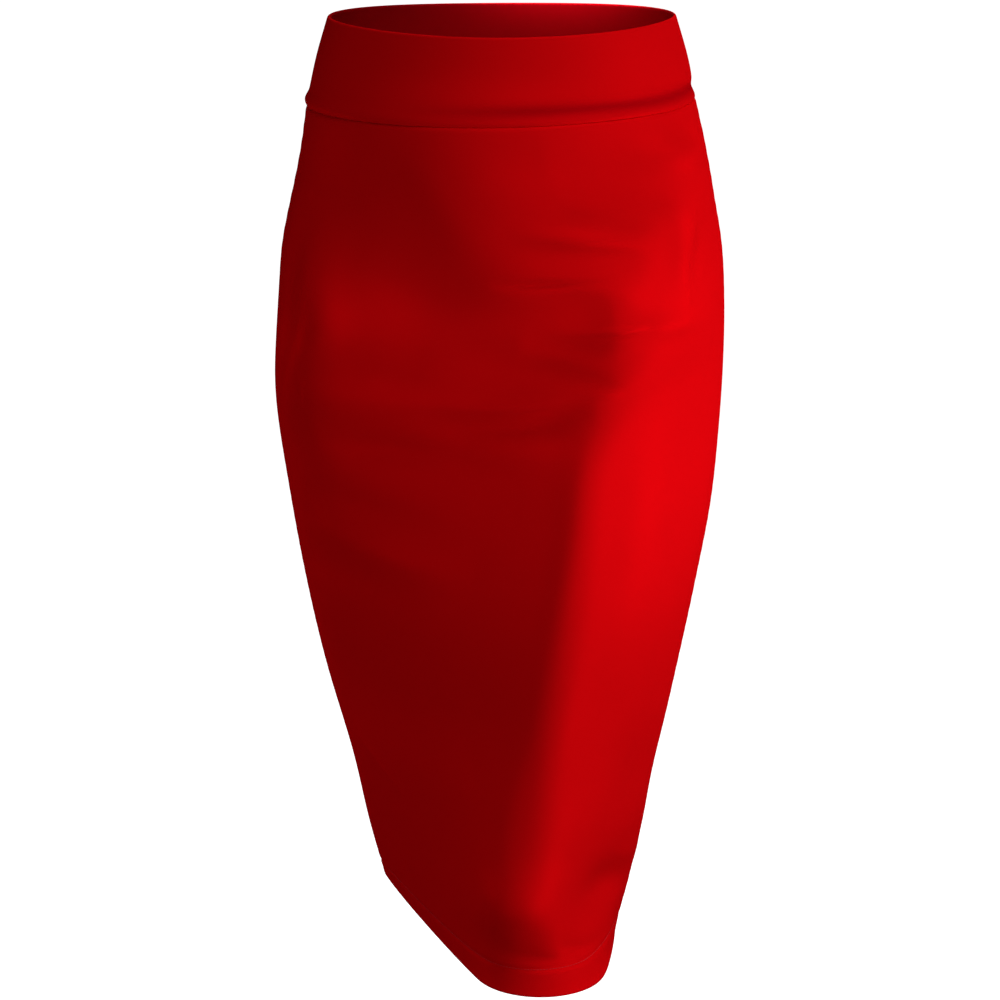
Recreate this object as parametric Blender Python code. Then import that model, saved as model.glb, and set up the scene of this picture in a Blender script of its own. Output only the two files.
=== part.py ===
"""Pencil skirt in stretch knit, standing open as it is worn in mid-step.

A front and a back panel meet at the side seams. A wide pull-on waistband, cut as a front and a back
too, is seamed on above them, and the hem is turned up inside. Metres, +Z up, -Y is the wearer's
front and +X the wearer's left. The origin is the middle of the waist, where the body holds it.
"""
import bpy
import bmesh
import numpy as np

MM = 0.001

# Driving dimensions, in millimetres. "down" is measured below the waist's side points.
LENGTH = 690.0          # waist to hem
BAND_HEIGHT = 60.0      # waist to the waist seam
WAIST_DIP_FRONT = 4.0   # how far the band's top edge drops at centre front
WAIST_DIP_BACK = 3.0
WAIST_SWAY = 0.5        # the top edge is worn this much higher on the wearer's left
SEAM_DIP_FRONT = 2.0    # and the waist seam the same way
SEAM_SWAY = 2.5
SEAM_GAP = 0.3          # between one sewn piece and the next
CLOTH_WALL = 1.2        # one layer of knit
HEM_WALL = 2.4          # two layers, where the hem is turned up
HEM_DEPTH = 21.0        # how far the hem is turned up
HEM_STEP = 1.0          # height over which the wall goes from one layer to two
BAND_WALL = 2.6         # two layers over soft elastic
CLING = 4.0             # how softly the cloth spans from one form to the next

# The roll that the seam allowances push out along the band's lower edge.
ROLL_CENTRE = 55.0
ROLL_HALF_HEIGHT = 4.0
ROLL_PROUD = 0.6
ROLL_PROUD_RIGHT = 2.0  # at the wearer's right side seam, where four layers cross
ROLL_RIGHT_SHARE = 0.12 # share of a half round which it is that proud

# Cross-sections: an oval for waist and hips, and two rounds for the leading and the trailing thigh.
# The cloth is stretched round all three, so a section is their outline pulled tight.
SECTION_COLUMNS = (
    "down",
    "oval_x", "oval_y", "half_width", "front", "back",
    "lead_x", "lead_y", "lead_round",
    "trail_x", "trail_y", "trail_round",
)
SECTIONS = (
    (0, 1, 0, 121, 93, 93, 50, -30, 50, -60, 0, 50),
    (30, 1, 0, 130, 97, 98, 54, -34, 50, -62, 0, 56),
    (60, 1, 0, 136, 107, 103, 76, -31, 47, -69, 2, 60),
    (110, 4, 0, 143, 116, 113, 85, -44, 56, -79, -7, 64),
    (160, 3, 0, 154, 115, 121, 77, -51, 60, -92, -34, 60),
    (205, 6, 0, 154, 100, 124, 77, -60, 58, -103, -54, 53),
    (250, 2, 0, 158, 91, 122, 69, -66, 45, -103, -36, 56),
    (295, 3, 0, 155, 82, 116, 57, -78, 35, -95, -7, 64),
    (350, 14, -4, 139, 77, 107, 52, -84, 30, -82, 12, 72),
    (410, 34, -12, 108, 69, 98, 45, -82, 33, -73, 25, 73),
    (490, 42, -18, 84, 42, 84, 34, -84, 29, -70, 42, 62),
    (560, 40, -20, 72, 31, 76, 22, -76, 37, -62, 38, 51),
    (630, 37, -15, 63, 31, 70, 19, -81, 38, -66, 64, 36),
    (690, 33, -7, 53, 31, 66, 27, -76, 48, -74, 97, 18),
)

# Main folds of a panel. "across" runs from its centre line, to the right as seen from outside.
# A fold rises where its height is positive and sinks where it is negative, and bows downwards. Its
# peak is the share of its length at which it is highest.
FOLD_COLUMNS = (
    "from_across", "from_down", "to_across", "to_down", "bow",
    "from_half_width", "to_half_width", "height", "peak",
)
FRONT_FOLDS = (
    # drawn across the lap from the leading thigh
    (29, 117, 93, 118, 2, 7.4, 8.3, 1.4, 0.51),
    (-10, 133, 98, 143, 0, 6.7, 6.5, 3.6, 0.53),
    (-13, 161, 97, 174, 3, 7.7, 11.6, 3.3, 0.69),
    (-62, 197, 60, 197, 8, 8.7, 20.9, -2.6, 0.78),
    (-73, 205, 86, 198, 4, 11.5, 2.1, 2.6, 0.85),
    (-7, 211, 72, 216, 0, 9.7, 5.3, -2.4, 0.38),
    (-65, 222, 82, 245, -4, 21.4, 3.3, -3.5, 0.46),
    (-54, 260, 117, 230, 10, 6, 14.4, 4.8, 0.46),
    (-42, 263, 58, 253, 9, 5.4, 11.7, -3.4, 0.69),
    (-77, 273, 61, 278, 0, 8.7, 7.6, -2.4, 0.46),
    # fanning out towards the wearer's right hip
    (-149, 253, 22, 258, 2, 18.4, 4.2, 4, 0.15),
    (-144, 280, -23, 293, 4, 12.3, 7.4, -2.7, 0.39),
    (-142, 292, -17, 304, 1, 9.4, 11.7, -1.7, 0.32),
    (-159, 331, -39, 347, 3, 15.4, 9, -3.2, 0.31),
    (-154, 355, -18, 381, 8, 11.9, 16.1, 4.1, 0.45),
    (-163, 380, -53, 406, 7, 16, 10.7, -2.4, 0.24),
    # upright, where the right hip turns and down from the left of the waist
    (-127, 123, -148, 303, 12, 13.1, 27.3, 3.8, 0.42),
    (-162, 116, -187, 300, 3, 19.9, 8.6, -3.5, 0.28),
    (108, 87, 120, 207, -6, 12.6, 8.8, 4.7, 0.49),
    # between the knee and the hem
    (16, 652, 116, 667, 7, 5.8, 5.5, -1.4, 0.52),
    (81, 613, 185, 648, -4, 12.1, 9, -3, 0.66),
    (73, 655, 148, 668, 4, 5.9, 5.5, -1.8, 0.31),
)
BACK_FOLDS = (
    # in the small of the back
    (-96, 82, 84, 84, 5, 7, 7, -1.4, 0.5),
    (-70, 100, 104, 96, 4, 8, 8, -1.0, 0.5),
    # under the seat
    (-128, 306, -18, 288, 6, 8, 8, -2.0, 0.5),
    (22, 284, 126, 300, 5, 8, 8, -1.8, 0.5),
    (-60, 330, 70, 322, 6, 10, 10, -1.4, 0.5),
    # behind the knees
    (-96, 520, 30, 506, 5, 10, 10, -1.8, 0.5),
    (-40, 560, 88, 572, 4, 10, 10, -1.5, 0.5),
)

FOLD_FADE = 1.6         # how gently a fold dies out at its ends

# Rounded swellings, and hollows where the height is negative: over the belly, the knee and the seat.
SWELL_COLUMNS = ("across", "down", "half_across", "half_down", "height")
FRONT_SWELLS = (
    (35, 623, 25, 22, 6.8),
    (46, 664, 49, 19, -5.6),
    (138, 545, 30, 39, -3.9),
    (104, 340, 26, 119, 7),
    (-5, 250, 80, 92, -9),
    (108, 199, 27, 8, 2.5),
    (132, 83, 34, 12, 8),
    (-75, 179, 32, 115, -1.6),
    (102, 122, 35, 29, 6.5),
    (-13, 163, 41, 33, 5.4),
    (118, 494, 38, 158, 6),
    (123, 626, 36, 25, -5.8),
    (-71, 458, 55, 61, 2.6),
    (39, 90, 45, 18, -2.4),
    (89, 202, 39, 95, -6.7),
    (-32, 95, 30, 34, 1.2),
    (136, 299, 34, 124, 3.1),
    (68, 591, 14, 11, -0.3),
    (83, 561, 30, 40, 2.6),
)
BACK_SWELLS = (
    (-70, 200, 70, 60, 2.0),
    (72, 196, 70, 60, 2.0),
)

# The doubled hem is stiffer than the panel and kicks out a little below the leading knee.
HEM_KICK = 3.2
KICK_ACROSS = 78.0
KICK_SPREAD = 70.0
KICK_DEPTH = 12.0       # it starts this far above the hem's edge

# Grid of the pieces: columns round them, and rows down them as (down to, number of rows).
FRONT_COLUMNS = 36
BACK_COLUMNS = 24
PANEL_ROWS = (
    (110, 5), (146, 3), (262, 17), (345, 8), (400, 3), (490, 4), (590, 7), (646, 3),
    (LENGTH - HEM_DEPTH - HEM_STEP, 4), (LENGTH - HEM_DEPTH, 1), (LENGTH, 2),
)
BAND_ROWS = ((4, 1), (46, 3), (51, 1), (55, 1), (60, 2))

RINGS = 231             # sections worked out from waist to hem
STATIONS = 240          # places round half of each
TURN_STEPS = 1440       # directions in which the stretched outline is felt for

RED_KNIT = (0.74, 0.0, 0.006, 1.0)
RED_BAND = (0.72, 0.0, 0.006, 1.0)
KNIT_ROUGHNESS = 0.62
CREASE_ANGLE = 50.0     # degrees; sharper edges than this are shaded as edges


def along(table, columns, name, down):
    """A column of a table at any height, on a smooth curve through its rows."""
    rows = np.array(table, float)
    heights = rows[:, columns.index("down")]
    values = rows[:, columns.index(name)]
    slopes = np.gradient(values, heights)
    below = int(np.clip(np.searchsorted(heights, down) - 1, 0, len(heights) - 2))
    step = heights[below + 1] - heights[below]
    t = (down - heights[below]) / step
    return (
        (1 + 2 * t) * (1 - t) ** 2 * values[below]
        + t * (1 - t) ** 2 * step * slopes[below]
        + t * t * (3 - 2 * t) * values[below + 1]
        + t * t * (t - 1) * step * slopes[below + 1]
    )


def stretched_ring(down):
    """The closed section at one height: its points and outward normals, anticlockwise from +X."""
    size = {name: along(SECTIONS, SECTION_COLUMNS, name, down) for name in SECTION_COLUMNS[1:]}
    turn = np.linspace(0, 2 * np.pi, TURN_STEPS + 1)
    cos, sin = np.cos(turn), np.sin(turn)
    depth = np.where(sin > 0, size["back"], size["front"])
    oval = np.sqrt((size["half_width"] * cos) ** 2 + (depth * sin) ** 2)
    oval_slope = (depth ** 2 - size["half_width"] ** 2) * sin * cos / oval
    reach = [oval + size["oval_x"] * cos + size["oval_y"] * sin]
    slope = [oval_slope - size["oval_x"] * sin + size["oval_y"] * cos]
    for leg in ("lead", "trail"):
        x, y = size[leg + "_x"], size[leg + "_y"]
        reach.append(size[leg + "_round"] + x * cos + y * sin)
        slope.append(y * cos - x * sin)
    reach, slope = np.array(reach), np.array(slope)
    furthest = reach.max(axis=0)
    weight = np.exp((reach - furthest) / CLING)
    total = weight.sum(axis=0)
    reach = furthest + CLING * np.log(total)
    slope = (weight * slope).sum(axis=0) / total
    return np.stack([reach * cos - slope * sin, reach * sin + slope * cos, cos, sin], axis=1)


def even_steps(stretch):
    """A stretch of a ring, read again at even steps along it, and its length."""
    steps = np.hypot(*np.diff(stretch[:, :2], axis=0).T)
    travelled = np.concatenate([[0.0], np.cumsum(steps)])
    length = travelled[-1]
    wanted = np.linspace(0, length, STATIONS + 1)
    return np.stack([np.interp(wanted, travelled, values) for values in stretch.T], axis=1), length


def half_form(half):
    """Every section's front or back half, side seam to side seam, and how far round each one is."""
    middle = TURN_STEPS // 2
    part = slice(middle, None) if half == "front" else slice(0, middle + 1)
    halves = [even_steps(stretched_ring(down)[part]) for down in np.linspace(0, LENGTH, RINGS)]
    return np.array([ring for ring, _ in halves]), np.array([girth for _, girth in halves])


FORM = {half: half_form(half) for half in ("front", "back")}


def read_form(half, u, down):
    """Point, normal and distance across at the share u round a half, 0 and 1 at its side seams."""
    rings, girths = FORM[half]
    row = np.clip(down / LENGTH, 0, 1) * (RINGS - 1)
    low = np.minimum(row.astype(int), RINGS - 2)
    station = np.clip(u, 0, 1) * STATIONS
    left = np.minimum(station.astype(int), STATIONS - 1)
    r, s = (row - low)[:, None], (station - left)[:, None]
    above = rings[low, left] * (1 - s) + rings[low, left + 1] * s
    below = rings[low + 1, left] * (1 - s) + rings[low + 1, left + 1] * s
    here = above * (1 - r) + below * r
    here[:, 2:] /= np.hypot(here[:, 2], here[:, 3])[:, None]
    girth = np.interp(row, np.arange(RINGS), girths)
    return here[:, :2], here[:, 2:], (u - 0.5) * girth


def soft_bump(distance, half_width):
    """One at no distance, fading smoothly to almost nothing at twice the half width."""
    return np.exp(-((distance / half_width) ** 2))


def fold_relief(folds, across, down):
    """How far the folds lift the cloth, in millimetres."""
    lift = np.zeros_like(across)
    for row in folds:
        fold = dict(zip(FOLD_COLUMNS, row))
        start = np.array([fold["from_across"], fold["from_down"]], float)
        run = np.array([fold["to_across"], fold["to_down"]], float) - start
        length = np.hypot(*run)
        run /= length
        along_fold = ((across - start[0]) * run[0] + (down - start[1]) * run[1]) / length
        off = (down - start[1]) * run[0] - (across - start[0]) * run[1]
        share = np.clip(along_fold, 0, 1)
        off = off - fold["bow"] * 4 * share * (1 - share)
        half_width = fold["from_half_width"] + share * (fold["to_half_width"] - fold["from_half_width"])
        swelling = np.sin(np.pi * share ** (np.log(0.5) / np.log(fold["peak"])))
        lift += fold["height"] * np.clip(swelling, 0, 1) ** FOLD_FADE * soft_bump(off, half_width)
    return lift


def panel_relief(half, across, down):
    """All that lifts a panel off its stretched form: folds, swellings and the hem's kick."""
    folds, swells = (FRONT_FOLDS, FRONT_SWELLS) if half == "front" else (BACK_FOLDS, BACK_SWELLS)
    lift = fold_relief(folds, across, down)
    for row in swells:
        swell = dict(zip(SWELL_COLUMNS, row))
        off_across = (across - swell["across"]) / swell["half_across"]
        off_down = (down - swell["down"]) / swell["half_down"]
        lift += swell["height"] * soft_bump(np.hypot(off_across, off_down), 1.0)
    if half == "front":
        into_hem = np.clip((down - LENGTH + KICK_DEPTH) / KICK_DEPTH, 0, 1)
        lift += HEM_KICK * into_hem ** 2 * soft_bump(across - KICK_ACROSS, KICK_SPREAD)
    return lift


def roll_relief(half, u, down):
    """The band's lower edge, pushed out by the allowances inside it."""
    from_right_seam = u if half == "front" else 1 - u
    proud = ROLL_PROUD + (ROLL_PROUD_RIGHT - ROLL_PROUD) * soft_bump(from_right_seam, ROLL_RIGHT_SHARE)
    return proud * soft_bump(down - ROLL_CENTRE, ROLL_HALF_HEIGHT)


def to_left(half, u):
    """How far a place is to the wearer's left, from -1 at the right side seam to 1."""
    return -np.cos(np.pi * u) if half == "front" else np.cos(np.pi * u)


def waist_edge(half, u):
    """How far down the band's top edge lies."""
    dip = WAIST_DIP_FRONT if half == "front" else WAIST_DIP_BACK
    return dip * np.sin(np.pi * u) ** 2 - WAIST_SWAY * to_left(half, u)


def seam_edge(half, u):
    """How far down the waist seam lies."""
    dip = SEAM_DIP_FRONT if half == "front" else 0.0
    return BAND_HEIGHT + dip * np.sin(np.pi * u) ** 2 - SEAM_SWAY * to_left(half, u)


def row_heights(spans, top):
    """Row heights from the top down, from a table of (down to, number of rows)."""
    heights = [top]
    for bottom, rows in spans:
        heights.extend(np.linspace(heights[-1], bottom, rows + 1)[1:])
    return np.array(heights)


def knit_material(name, colour):
    material = bpy.data.materials.new(name)
    material.use_nodes = True
    shader = material.node_tree.nodes["Principled BSDF"]
    shader.inputs["Base Color"].default_value = colour
    shader.inputs["Roughness"].default_value = KNIT_ROUGHNESS
    shader.inputs["Metallic"].default_value = 0.0
    return material


def cloth_wall(name, half, columns, heights, shape, material):
    """A closed wall of cloth: a flat slab of columns and rows, wrapped round the form.

    The slab lies with its share round the half along X, its rows along Y and its inside up. shape
    takes that share and the row's height, and gives back how far down each point hangs, a function
    for the lift of the outer face, and the wall's thickness.
    """
    mesh = bpy.data.meshes.new(name)
    slab = bmesh.new()
    rows = len(heights) - 1
    bmesh.ops.create_grid(slab, x_segments=columns, y_segments=rows, size=0.5)
    made = bmesh.ops.extrude_face_region(slab, geom=slab.faces[:], use_keep_orig=True)
    inner = [item for item in made["geom"] if isinstance(item, bmesh.types.BMVert)]
    bmesh.ops.translate(slab, verts=inner, vec=(0, 0, 1))
    bmesh.ops.recalc_face_normals(slab, faces=slab.faces[:])

    flat = np.array([vert.co for vert in slab.verts])
    share = np.clip(flat[:, 1] + 0.5, 0, 1)
    height = np.interp(share * rows, np.arange(rows + 1), heights)
    u = flat[:, 0] + 0.5
    down, relief, wall = shape(u, height)
    _, _, half_girth = read_form(half, np.ones_like(u), down)
    gap_share = SEAM_GAP / 2 / (2 * half_girth)
    u = gap_share + u * (1 - 2 * gap_share)
    point, normal, across = read_form(half, u, down)
    lift = relief(across, down, u) - wall * flat[:, 2]
    point = point + normal * lift[:, None]
    for vert, (x, y), z in zip(slab.verts, point, -down):
        vert.co = (x * MM, y * MM, z * MM)
    slab.to_mesh(mesh)
    slab.free()
    mesh.shade_smooth()
    mesh.set_sharp_from_angle(angle=np.radians(CREASE_ANGLE))
    mesh.materials.append(material)
    piece = bpy.data.objects.new(name, mesh)
    bpy.context.collection.objects.link(piece)
    return piece


def panel(half, columns, material):
    """A skirt panel, from just below the waist seam to the hem."""
    heights = row_heights(PANEL_ROWS, BAND_HEIGHT)

    def shape(u, height):
        wall = np.where(height > LENGTH - HEM_DEPTH - HEM_STEP / 2, HEM_WALL, CLOTH_WALL)
        to_hem = (LENGTH - height) / (LENGTH - BAND_HEIGHT)
        down = height + (seam_edge(half, u) - BAND_HEIGHT + SEAM_GAP / 2) * to_hem

        def relief(across, down, u):
            return panel_relief(half, across, down)

        return down, relief, wall

    return cloth_wall(half + "_panel", half, columns, heights, shape, material)


def waistband(half, columns, material):
    """Half of the band, from its top edge to just above the waist seam."""
    heights = row_heights(BAND_ROWS, 0.0)

    def shape(u, height):
        bottom = seam_edge(half, u) - SEAM_GAP / 2
        top = waist_edge(half, u)
        down = top + (bottom - top) * height / BAND_HEIGHT

        def relief(across, down, u):
            return roll_relief(half, u, down)

        return down, relief, np.full_like(u, BAND_WALL)

    return cloth_wall("waistband_" + half, half, columns, heights, shape, material)


def main():
    for item in list(bpy.data.objects):
        bpy.data.objects.remove(item, do_unlink=True)
    knit = knit_material("red stretch knit", RED_KNIT)
    band = knit_material("red knit over elastic", RED_BAND)
    panel("front", FRONT_COLUMNS, knit)
    panel("back", BACK_COLUMNS, knit)
    waistband("front", FRONT_COLUMNS, band)
    waistband("back", BACK_COLUMNS, band)


main()
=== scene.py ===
"""Dresses a pencil skirt: red stretch knit on its hollow worn form, its sewing, and a plain studio.

The cloth is worked out the way it is stretched: round an oval and two rounds, section by section,
then its folds are laid on from a table. Lengths there are millimetres; Blender's are metres.
"""

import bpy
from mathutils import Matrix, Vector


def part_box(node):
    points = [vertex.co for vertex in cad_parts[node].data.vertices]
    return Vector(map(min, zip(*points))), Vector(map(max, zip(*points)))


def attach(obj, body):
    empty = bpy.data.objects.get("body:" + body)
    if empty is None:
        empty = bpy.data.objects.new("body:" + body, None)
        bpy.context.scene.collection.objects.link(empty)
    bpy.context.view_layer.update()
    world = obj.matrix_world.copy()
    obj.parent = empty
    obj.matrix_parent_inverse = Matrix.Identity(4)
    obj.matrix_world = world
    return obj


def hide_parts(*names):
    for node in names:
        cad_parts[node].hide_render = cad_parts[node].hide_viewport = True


bl_info = {
    "name": "Pencil skirt",
    "version": (1, 0, 0),
    "blender": (4, 5, 0),
    "location": "3D View > Sidebar > Skirt",
    "description": "Knit cloth, seams, hem and studio for a pencil skirt on its solid form",
    "category": "Object",
}

import bmesh
import bpy
import numpy as np
from mathutils import Vector

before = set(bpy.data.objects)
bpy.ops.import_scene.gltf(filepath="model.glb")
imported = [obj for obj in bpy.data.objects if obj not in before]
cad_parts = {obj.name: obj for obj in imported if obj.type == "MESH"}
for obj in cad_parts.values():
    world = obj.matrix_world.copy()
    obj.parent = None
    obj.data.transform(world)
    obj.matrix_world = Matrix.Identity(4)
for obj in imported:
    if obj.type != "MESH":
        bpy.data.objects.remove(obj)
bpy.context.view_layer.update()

MM = 0.001

# --- The form, as the solids have it -------------------------------------------------------------

LENGTH = round(-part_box("front_panel")[0][2] / MM, 1)     # waist's side points to hem
BAND_HEIGHT = 60.0      # waist to the waist seam
WAIST_DIP_FRONT = 4.0   # how far the band's top edge drops at centre front
WAIST_DIP_BACK = 3.0
WAIST_SWAY = 0.5        # the top edge is worn this much higher on the wearer's left
SEAM_DIP_FRONT = 2.0    # and the waist seam the same way
SEAM_SWAY = 2.5
SEAM_GAP = 0.01         # between one sewn piece and the next, closed up by its sewing
CLING = 4.0             # how softly the cloth spans from one form to the next

SECTION_COLUMNS = (
    "down",
    "oval_x", "oval_y", "half_width", "front", "back",
    "lead_x", "lead_y", "lead_round",
    "trail_x", "trail_y", "trail_round",
)
SECTIONS = (
    (0, 1, 0, 121, 93, 93, 50, -30, 50, -60, 0, 50),
    (30, 1, 0, 130, 97, 98, 54, -34, 50, -62, 0, 56),
    (60, 1, 0, 136, 107, 103, 76, -31, 47, -69, 2, 60),
    (110, 4, 0, 143, 116, 113, 85, -44, 56, -79, -7, 64),
    (160, 3, 0, 154, 115, 121, 77, -51, 60, -92, -34, 60),
    (205, 6, 0, 154, 100, 124, 77, -60, 58, -103, -54, 53),
    (250, 2, 0, 158, 91, 122, 69, -66, 45, -103, -36, 56),
    (295, 3, 0, 155, 82, 116, 57, -78, 35, -95, -7, 64),
    (350, 14, -4, 139, 77, 107, 52, -84, 30, -82, 12, 72),
    (410, 34, -12, 108, 69, 98, 45, -82, 33, -73, 25, 73),
    (490, 42, -18, 84, 42, 84, 34, -84, 29, -70, 42, 62),
    (560, 40, -20, 72, 31, 76, 22, -76, 37, -62, 38, 51),
    (630, 37, -15, 63, 31, 70, 19, -81, 38, -66, 64, 36),
    (690, 33, -7, 53, 31, 66, 27, -76, 48, -74, 97, 18),
)

RINGS = 461             # sections worked out from waist to hem
STATIONS = 480          # places round half of each
TURN_STEPS = 2880       # directions in which the stretched outline is felt for

# --- Folds ---------------------------------------------------------------------------------------
# "across" runs from a panel's centre line, to the right as seen from outside. A fold rises where
# its height is positive and sinks where it is negative, and bows downwards. Its peak is the share of
# its length at which it is highest.

FOLD_COLUMNS = (
    "from_across", "from_down", "to_across", "to_down", "bow",
    "from_half_width", "to_half_width", "height", "peak",
)
FRONT_FOLDS = (
    # drawn across the lap from the leading thigh
    (29, 117, 93, 118, 2, 7.4, 8.3, 1.4, 0.51),
    (-10, 133, 98, 143, 0, 6.7, 6.5, 3.6, 0.53),
    (-13, 161, 97, 174, 3, 7.7, 11.6, 3.3, 0.69),
    (-62, 197, 60, 197, 8, 8.7, 20.9, -2.6, 0.78),
    (-73, 205, 86, 198, 4, 11.5, 2.1, 2.6, 0.85),
    (-7, 211, 72, 216, 0, 9.7, 5.3, -2.4, 0.38),
    (-22, 223, 69, 218, -1, 5, 4.5, 0.4, 0.84),
    (-65, 222, 82, 245, -4, 21.4, 3.3, -3.5, 0.46),
    (-54, 260, 117, 230, 10, 6, 14.4, 4.8, 0.46),
    (2, 238, 79, 245, 5, 5.2, 3.1, 0.6, 0.82),
    (-42, 263, 58, 253, 9, 5.4, 11.7, -3.4, 0.69),
    (-77, 273, 61, 278, 0, 8.7, 7.6, -2.4, 0.46),
    (-21, 168, 72, 164, 2, 3.3, 3.2, -2.6, 0.4),
    (-64, 187, 71, 181, -4, 8, 8.6, 1, 0.59),
    # fanning out towards the wearer's right hip
    (-133, 173, -69, 176, 1, 11.4, 10.2, 0.4, 0.39),
    (-129, 230, -59, 237, 2, 6, 5.7, -0.4, 0.54),
    (-149, 253, 22, 258, 2, 18.4, 4.2, 4, 0.15),
    (-144, 280, -23, 293, 4, 12.3, 7.4, -2.7, 0.39),
    (-142, 292, -17, 304, 1, 9.4, 11.7, -1.7, 0.32),
    (-41, 294, 44, 284, 4, 10, 9.5, 2.1, 0.5),
    (-159, 331, -39, 347, 3, 15.4, 9, -3.2, 0.31),
    (-154, 355, -18, 381, 8, 11.9, 16.1, 4.1, 0.45),
    (-163, 380, -53, 406, 7, 16, 10.7, -2.4, 0.24),
    # upright, where the right hip turns and down from the left of the waist
    (-127, 123, -148, 303, 12, 13.1, 27.3, 3.8, 0.42),
    (-162, 116, -187, 300, 3, 19.9, 8.6, -3.5, 0.28),
    (108, 87, 120, 207, -6, 12.6, 8.8, 4.7, 0.49),
    (26, 59, 29, 119, -2, 8.3, 8.1, 0.3, 0.44),
    # the edge of the belly
    (-66, 77, -9, 186, 2, 16.5, 13.6, 0.9, 0.3),
    # faint, behind the trailing knee, and down the leading thigh's ridge
    (-148, 528, -84, 581, 0, 4, 4, 0.9, 0.48),
    (47, 255, 38, 602, -3, 12.3, 6.6, 1.2, 0.31),
    # between the knee and the hem
    (16, 652, 116, 667, 7, 5.8, 5.5, -1.4, 0.52),
    (68, 591, 188, 624, -1, 7.3, 8.2, 1, 0.74),
    (81, 613, 185, 648, -4, 12.1, 9, -3, 0.66),
    (73, 655, 148, 668, 4, 5.9, 5.5, -1.8, 0.31),
    (14, 618, 13, 670, 2, 6.4, 6.9, -1.1, 0.43),
    (32, 636, 38, 674, -2, 9.3, 9.1, 0.8, 0.44),
)
BACK_FOLDS = (
    # in the small of the back
    (-96, 82, 84, 84, 5, 7, 7, -1.4, 0.5),
    (-70, 92, 92, 91, 4, 6, 6, 0.6, 0.5),
    (-70, 100, 104, 96, 4, 8, 8, -1.0, 0.5),
    # under the seat
    (-128, 306, -18, 288, 6, 8, 8, -2.0, 0.5),
    (-110, 318, -30, 303, 5, 7, 7, 0.9, 0.5),
    (22, 284, 126, 300, 5, 8, 8, -1.8, 0.5),
    (30, 297, 112, 312, 5, 7, 7, 0.8, 0.5),
    (-60, 330, 70, 322, 6, 10, 10, -1.4, 0.5),
    # behind the knees
    (-96, 520, 30, 506, 5, 10, 10, -1.8, 0.5),
    (-84, 536, 20, 524, 5, 9, 9, 0.8, 0.5),
    (-40, 560, 88, 572, 4, 10, 10, -1.5, 0.5),
    (-30, 590, 60, 596, 3, 10, 10, -0.7, 0.5),
)
FOLD_FADE = 1.6         # how gently a fold dies out at its ends

SWELL_COLUMNS = ("across", "down", "half_across", "half_down", "height")
FRONT_SWELLS = (
    (35, 623, 25, 22, 6.8),
    (46, 664, 49, 19, -5.6),
    (138, 545, 30, 39, -3.9),
    (104, 340, 26, 119, 7),
    (-5, 250, 80, 92, -9),
    (108, 199, 27, 8, 2.5),
    (132, 83, 34, 12, 8),
    (-75, 179, 32, 115, -1.6),
    (102, 122, 35, 29, 6.5),
    (-13, 163, 41, 33, 5.4),
    (118, 494, 38, 158, 6),
    (123, 626, 36, 25, -5.8),
    (-71, 458, 55, 61, 2.6),
    (39, 90, 45, 18, -2.4),
    (89, 202, 39, 95, -6.7),
    (-32, 95, 30, 34, 1.2),
    (136, 299, 34, 124, 3.1),
    (68, 591, 14, 11, -0.3),
    (83, 561, 30, 40, 2.6),
)
BACK_SWELLS = (
    (-70, 200, 70, 60, 2.0),
    (72, 196, 70, 60, 2.0),
)
FOLDS = {"front": FRONT_FOLDS, "back": BACK_FOLDS}
SWELLS = {"front": FRONT_SWELLS, "back": BACK_SWELLS}

# The hem kicks out a little below the leading knee.
HEM_KICK = 3.2
KICK_ACROSS = 78.0
KICK_SPREAD = 70.0
KICK_DEPTH = 12.0

# --- Edges and seams -----------------------------------------------------------------------------

HEM_STEP = 1.0          # height over which the wall goes from one layer to two
LEAST_WALL = 0.08       # the cloth is never thinner than this, at its rolled edges
HEM_STITCH_UP = 18.0    # the stitch row lies this far above the hem's edge
STITCH_GROOVE = 0.8
STITCH_GROOVE_HALF = 2.0
SIDE_ROLL = 2.2         # cloth within this of a side seam rolls in towards it
SIDE_ROLL_IN = 0.8
SEAM_ROLL = 3.0         # and along the waist seam
SEAM_ROLL_IN = 1.3
EDGE_ROUND = 0.96       # share of a wall's half that its folded edge rounds off
PUCKER = 0.16           # small ripples that the side seams' sewing leaves
PUCKER_PITCH = 11.0
PUCKER_REACH = 12.0
PUCKER_SHIFT = 2.1      # how far, in radians, the ripples at a panel's two sides are out of step
PUCKER_BACK = 0.7       # and the back's with the front's
PUCKER_DRIFT = 1.7      # they crowd and spread by this much, in radians
PUCKER_DRIFT_LENGTH = 37.0          # this far down for each radian of it
PUCKER_PATCH_LENGTH = 53.0          # and for each radian of the patches that they come and go in
ROLL_CENTRE = 55.0      # the roll that the allowances push out along the band's lower edge
ROLL_HALF_HEIGHT = 4.0
ROLL_PROUD = 0.3
ROLL_PROUD_RIGHT = 2.0
ROLL_RIGHT_SHARE = 0.12
DITCH_CENTRE = 51.2     # the soft ditch above it, deepest on the wearer's left; painted shade darkens the face there too
DITCH_HALF_HEIGHT = 4.6
DITCH_DEEP = 1.6
DITCH_FROM = 0.15       # it starts at this share of the way from the right side to the left
DITCH_FULL = 0.65       # and has its full depth from this one on
ALLOWANCE_WALL = 1.6    # two layers of knit, pressed flat under the overlocking
ALLOWANCE_START = 0.6   # how far off its seam an allowance starts
ALLOWANCE_CLEAR = 0.06  # how far an allowance stands off the panel that it lies against
ALLOWANCE_THINNED = 0.85            # share of its thickness that its edges lose
ALLOWANCE_ENDS = 1.0    # a side allowance starts this far below the waist's
ALLOWANCE_HEM_CLEAR = 0.5           # and ends this far above the step of the turned-up hem
ALLOWANCE_SHARES = (0.0, 0.03, 0.1, 0.3, 0.5, 0.7, 0.9, 0.97, 1.0)     # columns across one
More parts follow.
